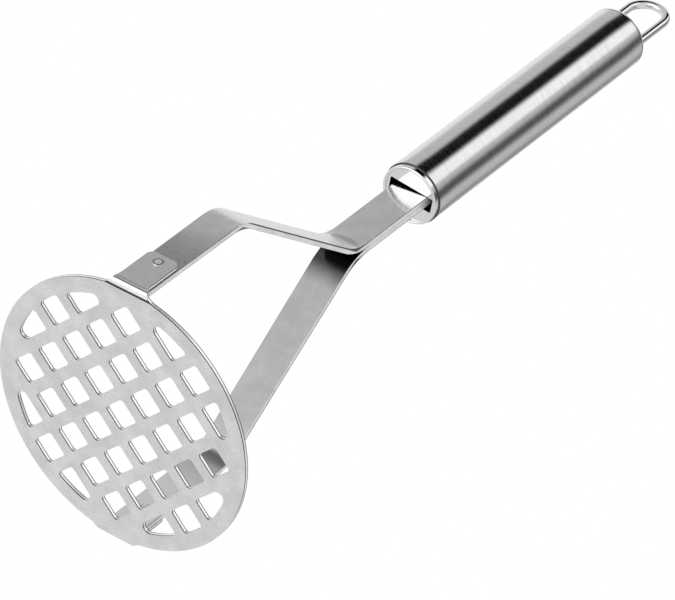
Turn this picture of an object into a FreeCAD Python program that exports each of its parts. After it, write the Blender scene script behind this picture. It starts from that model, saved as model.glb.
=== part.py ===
import FreeCAD, Part
import math
import os

from FreeCAD import Vector

# Potato masher: a perforated pressing plate on two bent strip arms that meet in a double stem,
# held in the slotted front cap of a round hollow handle with a wire hanging loop at its rear end.
# Millimetres. +Z runs up the handle, X joins the two arms, and the origin is the centre of the
# plate's pressing face.

# ---- driving dimensions ----
plate_diameter = 86.6
sheet_thickness = 1.3          # plate and tabs are one sheet
hole_pitch = 11.5
hole_side = 7.9
hole_corner_radius = 1.1
hole_reach = 10                # i*i + j*j of the outermost holes, which a circle trims
hole_tip_radius = 2.0          # pointed end of an outermost hole
plain_rim_width = 4.9          # unpunched rim; its inner circle trims the outermost holes
grid_turn = 45.0               # the rows of holes run at this angle to X

tab_width = 10.2
tab_height = 17.2              # top of the tab above the pressing face
tab_bend_radius = 2.4          # outside of the bend
tab_bend_inset = 0.4           # the bend starts this far inside the plate's edge
tab_corner_radius = 2.2
neck_radius = 5.0              # concave sweep from the plate's edge into the tab

arm_thickness = 1.8
arm_width_foot = 10.6
arm_width_stem = 11.7
arm_foot_gap = 0.8             # arm's foot above the end of the tab's bend
knee_height = 46.1
fork_height = 103.2
knee_radius = 16.0
fork_radius = 19.0
tang_depth = 30.0              # stem inside the handle
tang_disc_thickness = 1.5

rivet_height = 13.7
rivet_shank_diameter = 2.4
rivet_head_diameter = 3.4
rivet_head_height = 0.35
rivet_inner_head_diameter = 4.4
rivet_inner_head_height = 0.9

handle_diameter = 20.0
free_stem_length = 36.1        # from the fork to the front edge of the tube
handle_tube_length = 108.0
handle_wall = 0.8

lip_inset = 0.35               # lip inside the tube's outside
lip_length = 1.7               # lip ahead of the tube's front edge
lip_width = 1.0
disc_recess = 0.8
cap_thickness = 0.8
cap_skirt_length = 6.0
slot_turn = 5.9                # the front cap sits slightly turned on the stem
slot_side_clearance = 0.12     # to the turned stem's corners
slot_end_margin = 0.94         # from the ends of the slot to the inside of the lip
slot_corner_radius = 0.5

rear_edge_radius = 0.9
rear_dome_height = 0.6
loop_wire_diameter = 2.8
loop_rise = 21.8               # top of the loop's centreline above the rear edge
loop_side_clearance = 0.1      # weld collar to the rear cap's skirt
weld_size = 2.2
weld_collar = 0.5              # thickness of the weld round a leg of the loop

# ---- derived dimensions ----
plate_radius = plate_diameter / 2
tab_bend_inner = tab_bend_radius - sheet_thickness
tab_bend_x = plate_radius - tab_bend_inset
perforated_radius = plate_radius - plain_rim_width
tab_outer_x = tab_bend_x + tab_bend_radius
tab_inner_x = tab_outer_x - sheet_thickness
handle_radius = handle_diameter / 2
bore_radius = handle_radius - handle_wall
skirt_bore_radius = bore_radius - cap_thickness
lip_outer_radius = handle_radius - lip_inset
lip_bore_radius = lip_outer_radius - lip_width
handle_start = fork_height + free_stem_length
handle_end = handle_start + handle_tube_length
disc_front = handle_start - lip_length + disc_recess
disc_back = disc_front + cap_thickness
rear_face = handle_end + rear_edge_radius
tang_top = handle_start + tang_depth
slot_cos, slot_sin = math.cos(math.radians(slot_turn)), math.sin(math.radians(slot_turn))
slot_width = 2 * (arm_thickness * slot_cos + arm_width_stem / 2 * slot_sin + slot_side_clearance)
slot_length = 2 * (lip_bore_radius - slot_end_margin)
loop_leg_y = skirt_bore_radius - loop_side_clearance - weld_collar - loop_wire_diameter / 2
EX, EZ = Vector(1, 0, 0), Vector(0, 0, 1)


def face_of(edges):
    return Part.Face(Part.Wire(Part.__sortEdges__(edges)))


def line(a, b):
    return Part.makeLine(a, b)


def arc(a, m, b):
    return Part.Arc(a, m, b).toShape()


def rounded_rectangle(length, width, radius):
    """Flat face about the origin, its length along Y, with rounded corners."""
    h, w, r = length / 2, width / 2, radius
    k = r * (1 - math.sqrt(0.5))
    edges = []
    for sx, sy in ((1, 1), (-1, 1), (-1, -1), (1, -1)):
        edges.append(arc(Vector(sx * w, sy * (h - r)), Vector(sx * (w - k), sy * (h - k)),
                         Vector(sx * (w - r), sy * h)))
    for s in (1, -1):
        edges.append(line(Vector(s * w, -(h - r)), Vector(s * w, h - r)))
        edges.append(line(Vector(-(w - r), s * h), Vector(w - r, s * h)))
    return face_of(edges)


def revolved(points):
    """Solid of revolution about Z from a closed outline of (radius, height) corners."""
    corners = [Vector(r, 0, z) for r, z in points]
    wire = Part.makePolygon(corners + corners[:1])
    return Part.Face(wire).revolve(Vector(0, 0, 0), EZ, 360)


def turned(shape, degrees):
    copy = shape.copy()
    copy.rotate(Vector(0, 0, 0), EZ, degrees)
    return copy


# ---- pressing plate ----
def rounded_upright(body, radius_at):
    """Body with its upright edges rounded, each by the radius given for its place."""
    for radius in sorted({radius_at(e) for e in body.Edges if upright(e)}):
        body = body.makeFillet(radius, [e for e in body.Edges
                                        if upright(e) and sharp(e, body) and radius_at(e) == radius])
    return body


def upright(edge):
    box = edge.BoundBox
    return box.ZLength > sheet_thickness and box.XLength < 1e-3 and box.YLength < 1e-3


def sharp(edge, body):
    """True where the two faces at an upright edge meet at an angle."""
    at = edge.CenterOfMass
    across = []
    for face in body.ancestorsOfType(edge, Part.Face):
        u, v = face.Surface.parameter(at)
        across.append(face.normalAt(u, v))
    return abs(across[0].dot(across[1])) < 0.99


def punch(i, j):
    """Cutter for one whole square hole of the grid."""
    low, h = -sheet_thickness, hole_side / 2
    body = Part.makeBox(hole_side, hole_side, 3 * sheet_thickness,
                        Vector(i * hole_pitch - h, j * hole_pitch - h, low))
    return rounded_upright(body, lambda edge: hole_corner_radius)


def outer_punch():
    """Cutter for an outermost hole: it starts square and runs along the trimming circle to a tip."""
    low, h, r = -sheet_thickness, hole_side / 2, perforated_radius
    x, y = hole_pitch - h, 3 * hole_pitch - h
    body = Part.makeBox(r, r, 3 * sheet_thickness, Vector(x, y, low))
    body = body.common(Part.makeCylinder(r, 3 * sheet_thickness, Vector(0, 0, low)))

    def radius_at(edge):
        tip = edge.CenterOfMass.x > x + h
        return hole_tip_radius if tip else hole_corner_radius

    return rounded_upright(body, radius_at)


def punches():
    """Every cutter of the grid, square to X."""
    reach = range(-3, 4)
    cutters = [punch(i, j) for i in reach for j in reach if i * i + j * j < hole_reach]
    one = outer_punch()
    for cutter in (one, one.mirror(Vector(0, 0, 0), EX)):
        cutters += [turned(cutter, quarter * 90) for quarter in range(4)]
    return Part.makeCompound(cutters)


def neck_half_width(s):
    """Half width of the sheet at the distance s along it from the plate's centre."""
    if s >= neck_centre_s:
        return tab_width / 2
    return neck_centre_y - math.sqrt(neck_radius ** 2 - (neck_centre_s - s) ** 2)


neck_centre_y = tab_width / 2 + neck_radius
neck_centre_s = math.sqrt((plate_radius + neck_radius) ** 2 - neck_centre_y ** 2)
bend_mean = tab_bend_radius - sheet_thickness / 2
bend_length = bend_mean * math.pi / 2


def neck_flat():
    """Flat sheet from inside the plate out to the start of the bend."""
    share = plate_radius / (plate_radius + neck_radius)
    tx, ty = neck_centre_s * share, neck_centre_y * share
    x0 = tx - 2 * neck_radius
    xm = (tx + tab_bend_x) / 2
    wm, we = neck_half_width(xm), neck_half_width(tab_bend_x)
    edges = [line(Vector(x0, -ty), Vector(x0, ty)),
             line(Vector(tab_bend_x, -we), Vector(tab_bend_x, we))]
    for s in (1, -1):
        edges.append(line(Vector(x0, s * ty), Vector(tx, s * ty)))
        edges.append(arc(Vector(tx, s * ty), Vector(xm, s * wm), Vector(tab_bend_x, s * we)))
    return face_of(edges).extrude(Vector(0, 0, sheet_thickness))


def neck_bend():
    """Quarter bend whose sides carry on the concave sweep."""
    cz = tab_bend_radius
    c = math.sqrt(0.5)

    def at(radius, angle, y=0.0):
        return Vector(tab_bend_x + radius * math.sin(angle), y, cz - radius * math.cos(angle))

    ro, ri = tab_bend_radius, tab_bend_inner
    wide = neck_half_width(tab_bend_x) + 0.5
    quarter = math.pi / 2
    section = face_of([arc(at(ro, 0), at(ro, quarter / 2), at(ro, quarter)),
                       line(at(ro, quarter), at(ri, quarter)),
                       arc(at(ri, quarter), at(ri, quarter / 2), at(ri, 0)),
                       line(at(ri, 0), at(ro, 0))])
    body = section.extrude(Vector(0, 2 * wide, 0))
    body.translate(Vector(0, -wide, 0))
    steps = 8
    angles = [quarter * (k / steps) for k in range(-1, steps + 2)]
    for s in (1, -1):
        rails = []
        for radius in (ri - 0.5, ro + 0.5):
            curve = Part.BSplineCurve()
            curve.interpolate([at(radius, a, s * neck_half_width(tab_bend_x + bend_mean * a))
                               for a in angles])
            rails.append(curve.toShape())
        cutter = Part.makeRuledSurface(rails[0], rails[1]).extrude(Vector(0, s * 2 * wide, 0))
        body = body.cut(cutter)
    return body


def tab_upright():
    """Upright part of the tab with rounded top corners and its rivet hole."""
    s0 = tab_bend_x + bend_length
    z0 = tab_bend_radius
    z1 = z0 + neck_centre_s - s0
    w0, w1 = neck_half_width(s0), tab_width / 2
    wm, zm = neck_half_width((s0 + neck_centre_s) / 2), (z0 + z1) / 2
    r = tab_corner_radius
    k = r * (1 - math.sqrt(0.5))
    x = tab_inner_x
    edges = [line(Vector(x, -w0, z0), Vector(x, w0, z0)),
             line(Vector(x, -(w1 - r), tab_height), Vector(x, w1 - r, tab_height))]
    for s in (1, -1):
        edges.append(arc(Vector(x, s * w0, z0), Vector(x, s * wm, zm), Vector(x, s * w1, z1)))
        edges.append(line(Vector(x, s * w1, z1), Vector(x, s * w1, tab_height - r)))
        edges.append(arc(Vector(x, s * w1, tab_height - r),
                         Vector(x, s * (w1 - k), tab_height - k),
                         Vector(x, s * (w1 - r), tab_height)))
    body = face_of(edges).extrude(Vector(sheet_thickness, 0, 0))
    return body.cut(rivet_bore())


def press_plate():
    disc = Part.makeCylinder(plate_radius, sheet_thickness)
    ear = [neck_flat(), neck_bend(), tab_upright()]
    sheet = disc.multiFuse(ear + [turned(piece, 180) for piece in ear]).removeSplitter()
    return sheet.cut(turned(punches(), grid_turn))


# ---- rivets ----
def rivet_bore():
    length = tab_outer_x - tab_inner_x + arm_thickness + 2
    start = Vector(tab_inner_x - arm_thickness - 1, 0, rivet_height)
    return Part.makeCylinder(rivet_shank_diameter / 2, length, start, EX)


def rivet():
    """Shank with a low head on the tab and a domed head on the arm's inner face."""
    inner = tab_inner_x - arm_thickness
    shank = Part.makeCylinder(rivet_shank_diameter / 2, tab_outer_x - inner,
                              Vector(inner, 0, rivet_height), EX)
    head = Part.makeCylinder(rivet_head_diameter / 2, rivet_head_height,
                             Vector(tab_outer_x, 0, rivet_height), EX)
    rim = [e for e in head.Edges if e.BoundBox.XLength < 1e-3 and e.BoundBox.XMin > tab_outer_x + 0.1]
    head = head.makeFillet(rivet_head_height * 0.6, rim)
    h, r = rivet_inner_head_height, rivet_inner_head_diameter / 2
    dome_radius = (r * r + h * h) / (2 * h)
    dome = Part.makeSphere(dome_radius, Vector(inner - h + dome_radius, 0, rivet_height))
    side = 2 * r + 1
    dome = dome.common(Part.makeBox(h, side, side,
                                    Vector(inner - h, -side / 2, rivet_height - side / 2)))
    return shank.multiFuse([head, dome]).removeSplitter()


# ---- arms ----
def strip(points, radii, thickness):
    """Side view of a bent strip: a centreline of (x, z) corners, each inner corner rounded."""
    rails = {1: [], -1: []}
    ends = {}
    last = {}
    for side in (1, -1):
        for k in range(1, len(points)):
            (x0, z0), (x1, z1) = points[k - 1], points[k]
            n = math.hypot(x1 - x0, z1 - z0)
            dx, dz = (x1 - x0) / n, (z1 - z0) / n
            ox, oz = dz * side * thickness / 2, -dx * side * thickness / 2
            start = Vector(x0 + ox, 0, z0 + oz)
            if k == 1:
                ends[side] = start
            else:
                start = last[side]
            if k < len(points) - 1:
                x2, z2 = points[k + 1]
                m = math.hypot(x2 - x1, z2 - z1)
                ex, ez = (x2 - x1) / m, (z2 - z1) / m
                turn = math.asin(dx * ez - dz * ex)
                reach = radii[k - 1] * math.tan(abs(turn) / 2)
                hand = 1 if turn > 0 else -1
                cx = x1 - dx * reach - dz * hand * radii[k - 1]
                cz = z1 - dz * reach + dx * hand * radii[k - 1]
                radius = radii[k - 1] + side * hand * thickness / 2
                a = Vector(x1 - dx * reach + ox, 0, z1 - dz * reach + oz)
                b = Vector(x1 + ex * reach + ez * side * thickness / 2, 0,
                           z1 + ez * reach - ex * side * thickness / 2)
                centre = Vector(cx, 0, cz)
                half = a + b - centre * 2
                half.normalize()
                rails[side] += [line(start, a), arc(a, centre + half * radius, b)]
                last[side] = b
            else:
                b = Vector(x1 + ox, 0, z1 + oz)
                rails[side].append(line(start, b))
                last[side] = b
    caps = [line(ends[1], ends[-1]), line(last[1], last[-1])]
    return face_of(rails[1] + rails[-1] + caps)


def arm():
    """Strip from its foot behind the tab, over the knee and the fork, up into the handle."""
    x_leg = tab_inner_x - arm_thickness / 2
    x_stem = arm_thickness / 2
    foot = tab_bend_radius + arm_foot_gap
    side = strip([(x_leg, foot), (x_leg, knee_height), (x_stem, fork_height), (x_stem, tang_top)],
                 [knee_radius, fork_radius], arm_thickness)
    wide = arm_width_stem
    body = side.extrude(Vector(0, 2 * wide, 0))
    body.translate(Vector(0, -wide, 0))
    f, s = arm_width_foot / 2, arm_width_stem / 2
    below, above = foot - 1, tang_top + 1
    outline = [(-f, below), (f, below), (f, rivet_height), (s, fork_height), (s, above),
               (-s, above), (-s, fork_height), (-f, rivet_height)]
    corners = [Vector(-1, y, z) for y, z in outline]
    taper = Part.Face(Part.makePolygon(corners + corners[:1])).extrude(Vector(tab_outer_x + 1, 0, 0))
    return body.common(taper).cut(rivet_bore())


# ---- handle ----
def handle_tube():
    outer = Part.makeCylinder(handle_radius, handle_tube_length, Vector(0, 0, handle_start))
    return outer.cut(Part.makeCylinder(bore_radius, handle_tube_length, Vector(0, 0, handle_start)))


def front_cap():
    """Pressed cap: rolled lip, recessed disc with the stem's slot, skirt inside the tube."""
    front = handle_start - lip_length
    skirt_end = handle_start + cap_skirt_length
    roll = min(lip_width, lip_length) * 0.45
    ring = revolved([(lip_bore_radius, front), (lip_outer_radius, front),
                     (lip_outer_radius, handle_start),
                     (bore_radius, handle_start), (bore_radius, skirt_end),
                     (skirt_bore_radius, skirt_end), (skirt_bore_radius, disc_back),
                     (0, disc_back), (0, disc_front), (lip_bore_radius, disc_front)])
    rims = [e for e in ring.Edges
            if e.Closed and abs(e.BoundBox.ZMin - front) < 1e-3 and e.BoundBox.ZLength < 1e-3]
    ring = ring.makeFillet(roll, rims)
    slot = rounded_rectangle(slot_length, slot_width, slot_corner_radius)
    slot.translate(Vector(0, 0, disc_front - 1))
    slot = turned(slot.extrude(Vector(0, 0, cap_thickness + 2)), slot_turn)
    return ring.cut(slot)


def rear_cap():
    """Domed end cap flush with the tube, its skirt inside, with two holes for the loop's legs."""
    r = rear_edge_radius
    k = r * (1 - math.sqrt(0.5))
    flat = handle_radius - r
    t = cap_thickness
    skirt_end = handle_end - cap_skirt_length
    crown = rear_face + rear_dome_height

    def p(radius, z):
        return Vector(radius, 0, z)

    dome = (flat ** 2 + rear_dome_height ** 2) / (2 * rear_dome_height)
    mid_angle = math.asin(flat / dome) / 2
    mid_r, mid_drop = dome * math.sin(mid_angle), dome * (1 - math.cos(mid_angle))
    edges = [line(p(handle_radius, handle_end), p(bore_radius, handle_end)),
             line(p(bore_radius, handle_end), p(bore_radius, skirt_end)),
             line(p(bore_radius, skirt_end), p(skirt_bore_radius, skirt_end)),
             line(p(skirt_bore_radius, skirt_end), p(skirt_bore_radius, rear_face - t)),
             line(p(skirt_bore_radius, rear_face - t), p(0, rear_face - t)),
             line(p(0, rear_face - t), p(0, crown)),
             arc(p(0, crown), p(mid_r, crown - mid_drop), p(flat, rear_face)),
             arc(p(flat, rear_face), p(handle_radius - k, rear_face - k), p(handle_radius, handle_end))]
    body = face_of(edges).revolve(Vector(0, 0, 0), EZ, 360)
    for s in (1, -1):
        body = body.cut(Part.makeCylinder(loop_wire_diameter / 2, 4 * r,
                                          loop_leg_at(s, rear_face - 2 * r)))
    return body


def loop_leg_at(side, height):
    return Vector(0, side * loop_leg_y, height)


def hang_loop():
    """Bent wire: two straight legs through the rear cap and a half-round top."""
    foot = rear_face - cap_thickness - weld_size
    bend = rear_face + loop_rise - loop_leg_y
    a, b = loop_leg_at(1, foot), loop_leg_at(1, bend)
    c, d = loop_leg_at(-1, bend), loop_leg_at(-1, foot)
    path = Part.Wire([line(a, b), arc(b, Vector(0, 0, rear_face + loop_rise), c), line(c, d)])
    section = Part.Wire([Part.makeCircle(loop_wire_diameter / 2, a, EZ)])
    return path.makePipeShell([section], True, False)


# ---- fixings out of sight inside the handle ----
def tang_disc():
    """Disc across the tube's bore that the end of the stem is welded to."""
    return Part.makeCylinder(bore_radius, tang_disc_thickness, Vector(0, 0, tang_top))


def tang_weld():
    """Bead along one broad face of the stem, where it meets the disc."""
    x = arm_thickness
    corners = [Vector(x, 0, tang_top), Vector(x + weld_size, 0, tang_top),
               Vector(x, 0, tang_top - weld_size)]
    length = arm_width_stem * 0.7
    bead = Part.Face(Part.makePolygon(corners + corners[:1])).extrude(Vector(0, length, 0))
    bead.translate(Vector(0, -length / 2, 0))
    return bead


def loop_weld(side):
    """Collar of weld round one leg of the loop, under the rear cap's disc."""
    height = weld_size * 0.6
    start = loop_leg_at(side, rear_face - cap_thickness - height)
    collar = Part.makeCylinder(loop_wire_diameter / 2 + weld_collar, height, start)
    return collar.cut(Part.makeCylinder(loop_wire_diameter / 2, height, start))


def export(name, shape):
    if shape.ShapeType == "Compound" and len(shape.Solids) == 1:
        shape = shape.Solids[0]
    shape.exportStep(os.path.join("parts", name + ".step"))


os.makedirs("parts", exist_ok=True)
export("press_plate", press_plate())
for name, angle in (("front", 0), ("rear", 180)):
    export(name + "_arm", turned(arm(), angle))
    export(name + "_rivet", turned(rivet(), angle))
    export(name + "_tang_weld", turned(tang_weld(), angle))
export("handle_tube", handle_tube())
export("front_cap", front_cap())
export("rear_cap", rear_cap())
export("hang_loop", hang_loop())
export("tang_disc", tang_disc())
export("left_loop_weld", loop_weld(1))
export("right_loop_weld", loop_weld(-1))
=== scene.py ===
import math

import bpy
from mathutils import Matrix, Vector


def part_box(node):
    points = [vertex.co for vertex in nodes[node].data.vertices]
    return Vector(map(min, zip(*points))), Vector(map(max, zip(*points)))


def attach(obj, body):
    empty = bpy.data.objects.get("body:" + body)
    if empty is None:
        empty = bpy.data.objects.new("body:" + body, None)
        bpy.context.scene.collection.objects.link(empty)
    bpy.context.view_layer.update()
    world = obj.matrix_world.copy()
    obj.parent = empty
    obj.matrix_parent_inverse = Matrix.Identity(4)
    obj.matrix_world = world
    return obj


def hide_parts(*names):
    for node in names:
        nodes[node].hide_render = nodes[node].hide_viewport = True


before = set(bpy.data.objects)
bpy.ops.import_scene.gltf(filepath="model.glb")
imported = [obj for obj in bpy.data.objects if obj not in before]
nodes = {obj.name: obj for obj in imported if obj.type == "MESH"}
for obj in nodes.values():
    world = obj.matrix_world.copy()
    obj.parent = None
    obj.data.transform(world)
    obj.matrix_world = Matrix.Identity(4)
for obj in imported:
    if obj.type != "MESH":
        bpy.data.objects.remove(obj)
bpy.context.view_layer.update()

MM = 0.001
UP = Vector((0, 0, 1))


def box_mm(node):
    low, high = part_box(node)
    return low / MM, high / MM


plate_high = box_mm("press_plate")[1]
arm_high = box_mm("front_arm")[1]
tube_low, tube_high = box_mm("handle_tube")
rivet_low, rivet_high = box_mm("front_rivet")

SHEET = 1.3                                      # thickness of plate and tabs
STRIP = 1.8                                      # thickness of an arm
TAB_FACE = plate_high.x                          # outer face of a tab
LEG_FACE = arm_high.x                            # outer face of an arm's leg
BEND = 2.4                                       # outside radius of a tab's bend
CREASE = TAB_FACE - BEND                         # where a tab's bend begins
KNEE, FORK = 46.1, 103.2                         # heights of an arm's two bends
SLOPE = math.atan2(LEG_FACE - STRIP, FORK - KNEE)
RIVET = (rivet_low.z + rivet_high.z) / 2


# ---------------------------------------------------------------- shader writing
class Value:
    """A shader socket that can be used in sums."""

    def __init__(self, sheet, socket):
        self.sheet = sheet
        self.socket = socket

    def sum(self, operation, a, b):
        return self.sheet.node("ShaderNodeMath", {"operation": operation}, {0: a, 1: b})

    def __add__(self, other):
        return self.sum("ADD", self, other)

    def __sub__(self, other):
        return self.sum("SUBTRACT", self, other)

    def __rsub__(self, other):
        return self.sum("SUBTRACT", other, self)

    def __mul__(self, other):
        return self.sum("MULTIPLY", self, other)

    __radd__ = __add__

    def __abs__(self):
        return self.sheet.node("ShaderNodeMath", {"operation": "ABSOLUTE"}, {0: self})

    def below(self, other):
        return self.sum("MINIMUM", self, other)

    def above(self, other):
        return self.sum("MAXIMUM", self, other)


class Sheet:
    """The node sheet of one material, or of the world."""

    def __init__(self, tree):
        self.tree = tree
        tree.nodes.clear()

    def node(self, kind, settings=None, values=None, output=0):
        node = self.tree.nodes.new(kind)
        for name, setting in (settings or {}).items():
            setattr(node, name, setting)
        for name, value in (values or {}).items():
            if isinstance(value, Value):
                self.tree.links.new(value.socket, node.inputs[name])
            else:
                node.inputs[name].default_value = value
        return Value(self, node.outputs[output]) if node.outputs else None

    def ramp(self, value, low, high, start=0.0, end=1.0):
        """Start at low, end at high, held level beyond them, and a smooth change between."""
        return self.node("ShaderNodeMapRange", {"interpolation_type": "SMOOTHSTEP"},
                         {"Value": value, "From Min": low, "From Max": high,
                          "To Min": start, "To Max": end})

    def blend(self, factor, a, b):
        return self.node("ShaderNodeMix", {"data_type": "RGBA"}, {0: factor, 6: a, 7: b}, 2)

    def parts(self, vector, wanted="XYZ"):
        split = self.node("ShaderNodeSeparateXYZ", {}, {0: vector})
        return [Value(self, split.socket.node.outputs[letter]) for letter in wanted]

    def place(self):
        return self.node("ShaderNodeTexCoord", {}, {}, "Object")

    def facing(self):
        return self.node("ShaderNodeTexCoord", {}, {}, "Normal")

    def stretched(self, vector, scale, turn=(0, 0, 0)):
        return self.node("ShaderNodeMapping", {},
                         {"Vector": vector, "Rotation": turn, "Scale": scale})

    def noise(self, vector, scale, detail=2.0, roughness=0.5):
        return self.node("ShaderNodeTexNoise", {}, {"Vector": vector, "Scale": scale,
                                                    "Detail": detail, "Roughness": roughness})

    def pits(self, vector, scale, size):
        """One on small scattered spots, zero between them."""
        cells = self.node("ShaderNodeTexVoronoi", {}, {"Vector": vector, "Scale": scale})
        return self.ramp(cells, size, size * 0.4)

    def bump(self, height, depth, strength=1.0):
        return self.node("ShaderNodeBump", {}, {"Height": height, "Distance": depth,
                                                "Strength": strength})


def steel(name, constants, varying):
    """Material with one metal shader: varying(sheet) gives the sockets that change over it."""
    material = bpy.data.materials.new(name)
    material.use_nodes = True
    sheet = Sheet(material.node_tree)
    sockets = dict(constants)
    sockets.update(varying(sheet))
    shader = sheet.node("ShaderNodeBsdfPrincipled", {}, sockets)
    sheet.node("ShaderNodeOutputMaterial", {}, {"Surface": shader})
    return material


def rgb(tone, warm=0.0):
    return (tone + warm, tone, tone - warm, 1)


# ---------------------------------------------------------------- finishes
def plate_finish(s):
    """Satin sheet: blotched grain, bright sheared walls and tab sides with painted shade along their
    corners, painted shade in the front tab's bend.
    """
    p = s.place()
    x, z = s.parts(p, "XZ")
    nx, nz = s.parts(s.facing(), "XZ")
    mottle = s.noise(p, 110, 4, 0.6)
    grain = s.noise(s.stretched(p, (1, 1, 0.6), (0, 0, 0.4)), 1700, 4, 0.75)
    cloud = s.noise(p, 30, 3)
    in_sheet = s.ramp(z, (SHEET + 0.1) * MM, SHEET * MM)
    wall = s.ramp(abs(nz), 0.96, 0.8) * in_sheet
    # painted shade along both corners of the sheared walls and of the tab sides
    near_edge_shade = s.ramp(z, 0.46 * MM, 0.32 * MM)
    far_edge_shade = s.ramp(z, (SHEET - 0.36) * MM, (SHEET - 0.22) * MM)
    corner = near_edge_shade.above(far_edge_shade)
    on_tab = s.ramp(z, BEND * MM, (BEND + 0.4) * MM)
    tab_side = s.ramp(abs(nx), 0.8, 0.5) * on_tab
    off_middle = abs(abs(x) - (TAB_FACE - SHEET / 2) * MM)
    tab_edge_shade = s.ramp(off_middle, 0.2 * MM, 0.34 * MM)
    # painted shade along the front tab's bend, close to the pressing face
    at_bend = s.ramp(abs(x - (CREASE + 0.1) * MM), 0.5 * MM, 0.2 * MM)
    crease_shade = at_bend * s.ramp(z, 0.3 * MM, 0.1 * MM)
    tone = s.blend(s.ramp(mottle, 0.3, 0.7), rgb(0.74), rgb(0.88))
    tone = s.blend(s.ramp(cloud, 0.42, 0.75, 0, 0.14), tone, (0.74, 0.735, 0.80, 1))
    tone = s.blend(s.ramp(grain, 0.35, 0.75, 0, 0.45), tone, rgb(0.52))
    sheared = wall.above(tab_side)
    # dark: the painted shade along those corners
    dark = (wall * corner).above(tab_side * tab_edge_shade)
    tone = s.blend(sheared, tone, rgb(0.97))
    tone = s.blend(dark * 0.95, tone, rgb(0.05))
    tone = s.blend(crease_shade, tone, rgb(0.03))
    spots = s.pits(p, 800, 0.17)
    tone = s.blend(spots * 0.4, tone, rgb(0.3))
    rough = s.ramp(mottle, 0.3, 0.7, 0.28, 0.42)
    relief = grain * 0.7 + mottle * 0.8 - spots * 0.4
    return {"Base Color": tone, "Roughness": rough, "Metallic": 1 - sheared * 0.4,
            "Normal": s.bump(relief, 0.02 * MM, 0.8)}


def arm_finish(s):
    """Rolled strip: fine lines along it, pitted below, sheared sides; painted shade at the sides'
    corners and where the arms meet, a painted highlight on the slanted faces, painted reflections on
    the inner faces and in an elliptic patch at the fork.
    """
    p = s.place()
    x, y, z = s.parts(p)
    nx, ny = s.parts(s.facing(), "XY")
    lines = s.noise(s.stretched(p, (1, 1, 0.03)), 2600, 3, 0.6)
    mottle = s.noise(p, 150, 4, 0.65)
    across = abs(x)
    outward = nx * x * (1 / MM)
    outside = s.ramp(outward, -1.0, 1.0)
    low = s.ramp(z, (KNEE - 4) * MM, 20 * MM) * outside
    side = s.ramp(abs(ny), 0.6, 0.85)
    leg = LEG_FACE * MM - across
    rise = leg * math.cos(SLOPE) + (KNEE * MM - z) * math.sin(SLOPE)
    depth = leg.below(rise).above(STRIP * MM - across)
    # painted shade along the corners of the sheared sides: the outer corner, and the inner one below
    # the fork
    outer_edge_shade = s.ramp(depth, 0.34 * MM, 0.2 * MM)
    below_fork = s.ramp(z, (FORK + 3) * MM, (FORK - 2) * MM)
    inner_edge_shade = s.ramp(depth, (STRIP - 0.3) * MM, (STRIP - 0.16) * MM) * below_fork
    corner = outer_edge_shade.above(inner_edge_shade * 0.9)
    # painted shade on the inner faces just below the fork, where the arms meet
    fork_shade = s.ramp(z, (FORK - 11) * MM, (FORK - 4) * MM) * (1 - outside) * (1 - side)
    # painted reflection on the inner faces: lighter towards the foot, darker higher up
    lighter = s.ramp(z, 25 * MM, 40 * MM, 0.85, 0.0) * (1 - outside)
    inner_dark_reflection = s.ramp(z, 30 * MM, 60 * MM, 0.0, 0.7) * (1 - outside)
    # painted highlight: the slanted outer faces between knee and fork are turned near white; they are
    # also rougher
    past_knee = s.ramp(z, (KNEE - 3) * MM, (KNEE + 3) * MM)
    short_of_fork = s.ramp(z, (FORK + 2) * MM, (FORK - 4) * MM)
    slant_highlight = past_knee * short_of_fork * outside * (1 - side)
    scuffs = s.pits(s.stretched(p, (1, 1, 0.6)), 900, 0.25) * low
    tone = s.blend(s.ramp(mottle, 0.3, 0.7), rgb(0.62), rgb(0.76))
    tone = s.blend(slant_highlight * 0.7, tone, rgb(0.96))
    tone = s.blend(low * 0.7, tone, rgb(0.34))
    tone = s.blend(s.ramp(lines, 0.35, 0.7, 0, 0.2), tone, rgb(0.45))
    tone = s.blend(lighter, tone, rgb(0.95))
    tone = s.blend(inner_dark_reflection, tone, rgb(0.40))
    tone = s.blend(scuffs * 0.8, tone, rgb(0.14))
    tone = s.blend(fork_shade * 0.92, tone, rgb(0.03))
    # painted dark reflection: an elliptic patch at the fork bend, on the outer face of each arm
    oval_rise = (z - (FORK + 1) * MM) * (1 / 2.6 / MM)
    oval_reach = (y - 0.8 * MM) * (1 / 4.8 / MM)
    oval_reflection = s.ramp(oval_rise * oval_rise + oval_reach * oval_reach, 1.15, 0.85) * outside
    tone = s.blend(oval_reflection * 0.5, tone, rgb(0.25))
    tone = s.blend(side, tone, s.blend(s.ramp(mottle, 0.3, 0.7), rgb(0.74), rgb(0.92)))
    tone = s.blend(side * corner * 0.95, tone, rgb(0.05))
    rough = s.ramp(mottle, 0.3, 0.7, 0.12, 0.18) + low * 0.14 + side * 0.2 + slant_highlight * 0.26
    relief = lines * 0.35 + mottle * 0.5 * low - scuffs * 0.8
    return {"Base Color": tone, "Roughness": rough, "Metallic": 1 - side * 0.35,
            "Normal": s.bump(relief, 0.014 * MM, 0.6)}


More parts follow.
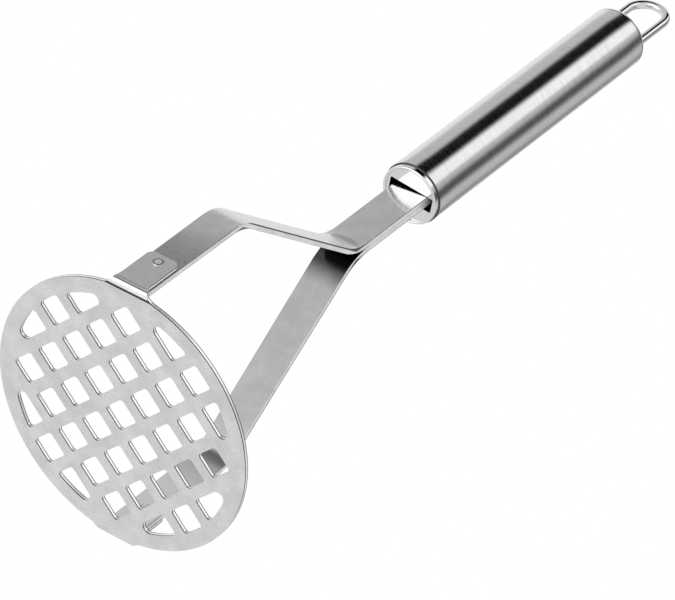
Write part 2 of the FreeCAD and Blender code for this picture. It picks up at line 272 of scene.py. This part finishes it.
def brushed_finish(s):
    """Tube brushed round and round: fine rings of uneven brightness."""
    p = s.place()
    [z] = s.parts(p, "Z")
    fine = s.noise(s.stretched(p, (0.02, 0.02, 1)), 9000, 3, 0.7)
    broad = s.noise(s.stretched(p, (0.05, 0.05, 1)), 1200, 2, 0.5)
    patch = s.noise(p, 60, 2)
    tone = s.blend(s.ramp(fine, 0.25, 0.75), rgb(0.60), rgb(0.84))
    tone = s.blend(s.ramp(patch, 0.4, 0.7, 0, 0.15), tone, rgb(0.6))
    # painted shade in a thin band at each end of the tube, where the caps meet it
    front = s.ramp(z, (tube_low.z + 0.45) * MM, (tube_low.z + 0.2) * MM)
    back = s.ramp(z, (tube_high.z - 0.55) * MM, (tube_high.z - 0.3) * MM)
    end_shade = front.above(back)
    tone = s.blend(end_shade * 0.95, tone, rgb(0.05))
    rough = s.ramp(fine, 0.25, 0.75, 0.14, 0.22)
    relief = fine * 0.6 + broad * 0.12
    return {"Base Color": tone, "Roughness": rough, "Normal": s.bump(relief, 0.006 * MM, 0.35)}


def mirror_finish(s):
    """Polished steel: near mirror, with faint wipe marks."""
    p = s.place()
    haze = s.noise(p, 160, 3, 0.6)
    wipe = s.noise(s.stretched(p, (1, 0.15, 1), (0, 0, 0.7)), 3000, 2, 0.6)
    tone = s.blend(haze, rgb(0.74), rgb(0.84))
    rough = s.ramp(haze, 0.35, 0.75, 0.04, 0.09)
    return {"Base Color": tone, "Roughness": rough,
            "Normal": s.bump(wipe * 0.4 + haze, 0.003 * MM, 0.3)}


def rivet_finish(s):
    """Pressed rivet head: a darker ring round a lighter middle."""
    p = s.place()
    y, z = s.parts(p, "YZ")
    up = z - RIVET * MM
    out = y * y + up * up
    past_middle = s.ramp(out, (1.0 * MM) ** 2, (1.25 * MM) ** 2)
    ring = past_middle * s.ramp(out, (1.75 * MM) ** 2, (1.5 * MM) ** 2)
    mottle = s.noise(p, 900, 3, 0.6)
    tone = s.blend(mottle, rgb(0.70), rgb(0.92))
    tone = s.blend(ring * 0.85, tone, rgb(0.12))
    return {"Base Color": tone, "Roughness": s.ramp(mottle, 0.3, 0.7, 0.2, 0.35),
            "Normal": s.bump(mottle, 0.02 * MM, 0.5)}


def weld_finish(s):
    """Weld metal: ripples and a straw to grey heat tint."""
    p = s.place()
    ripple = s.node("ShaderNodeTexWave", {"wave_type": "BANDS", "bands_direction": "Y"},
                    {"Vector": p, "Scale": 260.0, "Distortion": 1.5}, "Fac")
    tint = s.noise(p, 500, 2)
    tone = s.blend(tint, (0.42, 0.38, 0.33, 1), (0.55, 0.56, 0.6, 1))
    return {"Base Color": tone, "Roughness": s.ramp(tint, 0.3, 0.7, 0.35, 0.55),
            "Normal": s.bump(ripple, 0.08 * MM, 0.7)}


METAL = {"Metallic": 1.0}
plate_steel = steel("satin_plate_steel", {}, plate_finish)
arm_steel = steel("rolled_arm_steel", {}, arm_finish)
tube_steel = steel("ring_brushed_steel",
                   {"Metallic": 1.0, "Anisotropic": 0.8, "Anisotropic Rotation": 0.25}, brushed_finish)
polished_steel = steel("polished_steel", METAL, mirror_finish)
rivet_steel = steel("rivet_steel", METAL, rivet_finish)
weld_steel = steel("weld_steel", METAL, weld_finish)


# ---------------------------------------------------------------- modelling by hand
def put_down():
    """Nothing selected, nothing being edited."""
    if bpy.context.object and bpy.context.object.mode != "OBJECT":
        bpy.ops.object.mode_set(mode="OBJECT")
    bpy.ops.object.select_all(action="DESELECT")


def take(piece):
    put_down()
    bpy.context.view_layer.objects.active = piece
    piece.select_set(True)


def finish_piece(piece, name, material, slot, *stands_for):
    """Named, coloured, on the body, in place of its CAD nodes."""
    piece.name = name
    piece.data.name = name
    piece.data.materials.clear()
    piece.data.materials.append(material)
    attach(piece, "root")
    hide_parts(*stands_for)
    return piece


def softened(node, name, width, material, slot):
    """A sheared or pressed piece with its sharp edges very slightly rounded."""
    piece = bpy.data.objects.new(name, nodes[node].data.copy())
    bpy.context.scene.collection.objects.link(piece)
    take(piece)
    bpy.ops.object.mode_set(mode="EDIT")
    bpy.ops.mesh.select_all(action="SELECT")
    bpy.ops.mesh.remove_doubles(threshold=0.5e-6)
    bpy.ops.mesh.dissolve_limited(angle_limit=math.radians(0.5))
    bpy.ops.object.mode_set(mode="OBJECT")
    if piece.data.has_custom_normals:
        bpy.ops.mesh.customdata_custom_splitnormals_clear()
    edge = piece.modifiers.new("edge", "BEVEL")
    edge.width = width
    edge.segments = 2
    edge.limit_method = "ANGLE"
    edge.angle_limit = math.radians(40)
    bpy.ops.object.modifier_apply(modifier="edge")
    bpy.ops.object.shade_smooth()
    sheen = piece.modifiers.new("flat faces stay flat", "WEIGHTED_NORMAL")
    sheen.mode = "FACE_AREA"
    sheen.weight = 100
    bpy.ops.object.modifier_apply(modifier=sheen.name)
    return finish_piece(piece, name, material, slot, node)


def turned_piece(name, outline, material, slot, stands_for, around=128):
    """Closed piece of revolution about the handle's axis, drawn ring by ring."""
    put_down()
    radius, height = outline[0]
    bpy.ops.mesh.primitive_circle_add(vertices=around, radius=radius * MM,
                                      location=(0, 0, height * MM))
    piece = bpy.context.object
    bpy.ops.object.transform_apply(location=True, rotation=True, scale=True)
    bpy.ops.object.mode_set(mode="EDIT")
    bpy.ops.mesh.select_all(action="SELECT")
    for nearer, further in zip(outline, outline[1:]):
        bpy.ops.mesh.extrude_edges_move(
            TRANSFORM_OT_translate={"value": (0, 0, (further[1] - nearer[1]) * MM)})
        grow = further[0] / nearer[0]
        bpy.ops.transform.resize(value=(grow, grow, 1), center_override=(0, 0, 0))
    bpy.ops.mesh.select_all(action="DESELECT")
    bpy.ops.mesh.select_mode(type="EDGE")
    bpy.ops.mesh.select_non_manifold()
    bpy.ops.mesh.bridge_edge_loops()
    bpy.ops.mesh.select_all(action="SELECT")
    bpy.ops.mesh.normals_make_consistent(inside=False)
    bpy.ops.mesh.select_mode(type="VERT")
    bpy.ops.object.mode_set(mode="OBJECT")
    bpy.ops.object.shade_smooth_by_angle(angle=math.radians(32))
    return finish_piece(piece, name, material, slot, *stands_for)


def rounded(corner, radius, turn, steps=5):
    """Quarter-round run of (radius, height) points about a centre, from one angle to another."""
    start, end = turn
    angles = [math.radians(start + (end - start) * k / steps) for k in range(steps + 1)]
    return [(corner[0] + radius * math.cos(a), corner[1] + radius * math.sin(a)) for a in angles]


# ---------------------------------------------------------------- plate, arms, front cap
softened("press_plate", "pressing_plate", 0.12 * MM, plate_steel, "plate_steel")
for side in ("front", "rear"):
    softened(side + "_arm", side + "_strip_arm", 0.14 * MM, arm_steel, "arm_steel")
    softened(side + "_rivet", side + "_rivet_head", 0.06 * MM, rivet_steel, "rivet_steel")
softened("front_cap", "slotted_front_cap", 0.05 * MM, polished_steel, "cap_polished")

# ---------------------------------------------------------------- handle tube
outer = tube_high.x
start, end = tube_low.z, tube_high.z
bore = outer - 0.8
lip = 0.25
turned_piece(
    "brushed_handle",
    rounded((outer - lip, start + lip), lip, (-90, 0)) + [(outer, start + 8), (outer, end - 8)]
    + rounded((outer - lip, end - lip), lip, (0, 90)) + [(bore, end), (bore, start)],
    tube_steel, "tube_steel", ["handle_tube"], 160)

# ---------------------------------------------------------------- rear cap
cap_low, cap_high = box_mm("rear_cap")
shoulder = 0.9
face = end + shoulder
crown = cap_high.z
wall = bore - 0.8
dome = [(r, face + (crown - face) * (1 - (r / (outer - shoulder)) ** 2))
        for r in (8.2, 7.2, 5.8, 4.2, 2.6, 1.2, 0.05)]
turned_piece(
    "domed_rear_cap",
    [(bore, cap_low.z), (bore, end), (outer - 0.05, end)]
    + rounded((outer - shoulder, end), shoulder, (3, 90), 7)
    + dome + [(0.05, face - 0.8), (wall - 0.6, face - 0.8), (wall, face - 1.4), (wall, cap_low.z)],
    polished_steel, "cap_polished", ["rear_cap"])

# ---------------------------------------------------------------- hanging loop
loop_low, loop_high = box_mm("hang_loop")
wire = loop_high.x
weld_low, weld_high = box_mm("left_loop_weld")
spread = (weld_low.y + weld_high.y) / 2          # from the handle's axis to a leg's
top = loop_high.z - wire - spread
along = Vector((0, 1, 0))
leg = along * spread
put_down()
bpy.ops.mesh.primitive_circle_add(vertices=32, radius=wire * MM, fill_type="NGON",
                                  location=Vector((leg.x, leg.y, loop_low.z)) * MM)
loop = bpy.context.object
bpy.ops.object.transform_apply(location=True, rotation=True, scale=True)
bpy.ops.object.mode_set(mode="EDIT")
bpy.ops.mesh.select_all(action="SELECT")
bpy.ops.mesh.extrude_region_move(TRANSFORM_OT_translate={"value": (0, 0, (top - loop_low.z) * MM)})
bpy.ops.mesh.spin(steps=28, angle=-math.pi, center=Vector((0, 0, top)) * MM,
                  axis=along.cross(UP))
bpy.ops.mesh.extrude_region_move(TRANSFORM_OT_translate={"value": (0, 0, (loop_low.z - top) * MM)})
bpy.ops.mesh.select_all(action="SELECT")
bpy.ops.mesh.remove_doubles(threshold=1e-7)
bpy.ops.mesh.normals_make_consistent(inside=False)
bpy.ops.object.mode_set(mode="OBJECT")
bpy.ops.object.shade_smooth_by_angle(angle=math.radians(32))
finish_piece(loop, "wire_hanging_loop", polished_steel, "loop_polished", "hang_loop")

# ---------------------------------------------------------------- welds
for node in ("tang_disc", "front_tang_weld", "rear_tang_weld", "left_loop_weld", "right_loop_weld"):
    nodes[node].data.materials.clear()
    nodes[node].data.materials.append(weld_steel)

# ---------------------------------------------------------------- floor
put_down()
bpy.ops.mesh.primitive_circle_add(vertices=96, radius=2.5, fill_type="NGON",
                                  location=(0, 0, -0.1 * MM))
floor = bpy.context.object
floor.name = "table_top"
bpy.ops.object.transform_apply(location=True, rotation=True, scale=True)
table = bpy.data.materials.new("pale_table")
table.use_nodes = True
sheet = Sheet(table.node_tree)
seen_from_below = sheet.node("ShaderNodeNewGeometry", {}, {}, "Backfacing")
pale = sheet.node("ShaderNodeBsdfDiffuse", {}, {"Color": (0.86, 0.86, 0.86, 1)})
clear = sheet.node("ShaderNodeBsdfTransparent", {}, {})
surface = sheet.node("ShaderNodeMixShader", {}, {0: seen_from_below, 1: pale, 2: clear})
sheet.node("ShaderNodeOutputMaterial", {}, {"Surface": surface})
floor.data.materials.append(table)
floor.visible_diffuse = False
floor.visible_glossy = False
floor.visible_shadow = False

# ---------------------------------------------------------------- studio
PANELS = [                 # name, bearing from the camera's side, half width, soft edge, light
    ("white back wall", 180, 58, 13, 0.98),
    ("black flag", -43, 15, 16, 0.0),
    ("key window", 5, 12, 13, 1.2),
    ("dark card", 61, 5, 24, 0.10),
    ("grey card", 133, 10, 18, 0.34)]
TENT = 0.62                # light of the tent's plain cloth
CAMERA_SIDE = math.radians(36.8)    # bearing of the camera about the handle

world = bpy.data.worlds.new("studio")
bpy.context.scene.world = world
world.use_nodes = True
sheet = Sheet(world.node_tree)
d = sheet.node("ShaderNodeTexCoord", {}, {}, "Generated")
dx, dy, dz = sheet.parts(d)
toward = dx * math.cos(CAMERA_SIDE) + dy * math.sin(CAMERA_SIDE)
aside = dy * math.cos(CAMERA_SIDE) - dx * math.sin(CAMERA_SIDE)
bearing = sheet.node("ShaderNodeMath", {"operation": "ARCTAN2"}, {0: aside, 1: toward})
upper = TENT
for name, middle, half, soft, light in PANELS:
    away = abs(bearing - math.radians(middle))
    away = away.below(2 * math.pi - away)
    on_panel = sheet.ramp(away, math.radians(half + soft), math.radians(half))
    on_panel.socket.node.label = name
    upper = on_panel * light + (1 - on_panel) * upper
keylight = sheet.ramp(abs(bearing + math.radians(73)), math.radians(75), math.radians(25))
lower = 0.78 + keylight * sheet.ramp(dz, -0.35, -0.60, 0.05, 1.1)
mix = sheet.ramp(dz, -0.10, 0.12)
lit = upper * mix + lower * (1 - mix)
rays = sheet.node("ShaderNodeLightPath", {}, {}, "Is Camera Ray")
tent = sheet.node("ShaderNodeBackground", {}, {"Color": lit, "Strength": 1.0})
white = sheet.node("ShaderNodeBackground", {}, {"Color": (1, 1, 1, 1), "Strength": 1.0})
seen = sheet.node("ShaderNodeMixShader", {}, {0: rays, 1: tent, 2: white})
sheet.node("ShaderNodeOutputWorld", {}, {"Surface": seen})


def soft_light(name, place, size, power):
    lamp = bpy.data.lights.new(name, "AREA")
    lamp.shape = "DISK"
    lamp.size = size
    lamp.energy = power
    holder = bpy.data.objects.new(name, lamp)
    bpy.context.scene.collection.objects.link(holder)
    holder.location = place
    holder.rotation_mode = "QUATERNION"
    holder.rotation_quaternion = Vector(place).to_track_quat("Z", "Y")
    holder.visible_glossy = False
    return holder


soft_light("overhead", (0.25, -0.35, 1.1), 0.9, 9)
soft_light("side_fill", (-0.9, 0.3, 0.7), 0.8, 4)
soft_light("edge_light", (0.5, 1.0, -0.6), 0.9, 9)

# ---------------------------------------------------------------- camera
lens = bpy.data.cameras.new("camera")
lens.sensor_fit = "HORIZONTAL"
lens.sensor_width = 36
lens.lens = 290.94
lens.clip_start, lens.clip_end = 0.05, 20
camera = bpy.data.objects.new("camera", lens)
bpy.context.scene.collection.objects.link(camera)
right = Vector((0.062962, 0.804415, 0.590721))
above = Vector((0.796385, -0.397231, 0.456047))
back = right.cross(above).normalized()
above = back.cross(right).normalized()
camera.matrix_world = (Matrix.Translation((0.94219, 0.70615, -0.96002))
                       @ Matrix((right, above, back)).transposed().to_4x4())
bpy.context.scene.camera = camera
bpy.context.scene.view_settings.view_transform = "Standard"
